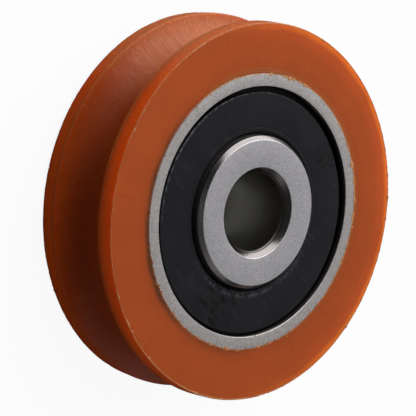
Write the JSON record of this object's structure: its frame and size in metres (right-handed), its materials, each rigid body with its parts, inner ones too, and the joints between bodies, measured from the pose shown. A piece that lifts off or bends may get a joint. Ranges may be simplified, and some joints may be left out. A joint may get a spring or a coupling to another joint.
{
  "type": "u groove bearing",
  "caption": "Sealed ball bearing with a moulded polyurethane tyre, whose tread has a round U groove that rolls along a rod or tube rail.",
  "frame": {"origin": "the middle of the bearing, on its axis and in the middle plane of the tyre", "axes": "+Z along the bearing's axis, out of the front face that the picture shows; +X through the centre of the first ball"},
  "size_m": [0.048, 0.048, 0.0146],
  "materials": {
    "tyre": "orange-brown moulded polyurethane, satin, slightly translucent at its edges",
    "ring_steel": "fine ground bearing steel",
    "seal": "satin black moulded rubber",
    "ball_steel": "polished bearing steel",
    "cage_steel": "pressed sheet steel"
  },
  "bodies": {
    "inner_ring": {"inner_ring": "ring_steel"},
    "roller": {"tyre": "tyre", "outer_ring": "ring_steel", "front_seal": "seal", "rear_seal": "seal"},
    "cage": {"cage_front_half": "cage_steel", "cage_rear_half": "cage_steel", "cage_rivets": "cage_steel"},
    "ball_1": {"ball_1": "ball_steel"},
    "ball_2": {"ball_2": "ball_steel"},
    "ball_3": {"ball_3": "ball_steel"},
    "ball_4": {"ball_4": "ball_steel"},
    "ball_5": {"ball_5": "ball_steel"},
    "ball_6": {"ball_6": "ball_steel"},
    "ball_7": {"ball_7": "ball_steel"}
  },
  "joints": [
    {"name": "roller_spin", "type": "hinge", "parent": "inner_ring", "child": "roller", "pos_m": [0, 0, 0], "axis": [0, 0, 1], "continuous": true},
    {"name": "cage_spin", "type": "hinge", "parent": "inner_ring", "child": "cage", "pos_m": [0, 0, 0], "axis": [0, 0, 1], "continuous": true},
    {"name": "ball_1_spin", "type": "hinge", "parent": "cage", "child": "ball_1", "pos_m": [0.01185, 0, 0], "axis": [0, 0, 1], "continuous": true},
    {"name": "ball_2_spin", "type": "hinge", "parent": "cage", "child": "ball_2", "pos_m": [0.00739, 0.00926, 0], "axis": [0, 0, 1], "continuous": true},
    {"name": "ball_3_spin", "type": "hinge", "parent": "cage", "child": "ball_3", "pos_m": [-0.00264, 0.01155, 0], "axis": [0, 0, 1], "continuous": true},
    {"name": "ball_4_spin", "type": "hinge", "parent": "cage", "child": "ball_4", "pos_m": [-0.01068, 0.00514, 0], "axis": [0, 0, 1], "continuous": true},
    {"name": "ball_5_spin", "type": "hinge", "parent": "cage", "child": "ball_5", "pos_m": [-0.01068, -0.00514, 0], "axis": [0, 0, 1], "continuous": true},
    {"name": "ball_6_spin", "type": "hinge", "parent": "cage", "child": "ball_6", "pos_m": [-0.00264, -0.01155, 0], "axis": [0, 0, 1], "continuous": true},
    {"name": "ball_7_spin", "type": "hinge", "parent": "cage", "child": "ball_7", "pos_m": [0.00739, -0.00926, 0], "axis": [0, 0, 1], "continuous": true}
  ],
  "couplings": [
    {"joint": "cage_spin", "follows": "roller_spin", "ratio": 0.63397},
    {"joint": "ball_1_spin", "follows": "roller_spin", "ratio": 1.7322},
    {"joint": "ball_2_spin", "follows": "roller_spin", "ratio": 1.7322},
    {"joint": "ball_3_spin", "follows": "roller_spin", "ratio": 1.7322},
    {"joint": "ball_4_spin", "follows": "roller_spin", "ratio": 1.7322},
    {"joint": "ball_5_spin", "follows": "roller_spin", "ratio": 1.7322},
    {"joint": "ball_6_spin", "follows": "roller_spin", "ratio": 1.7322},
    {"joint": "ball_7_spin", "follows": "roller_spin", "ratio": 1.7322}
  ]
}
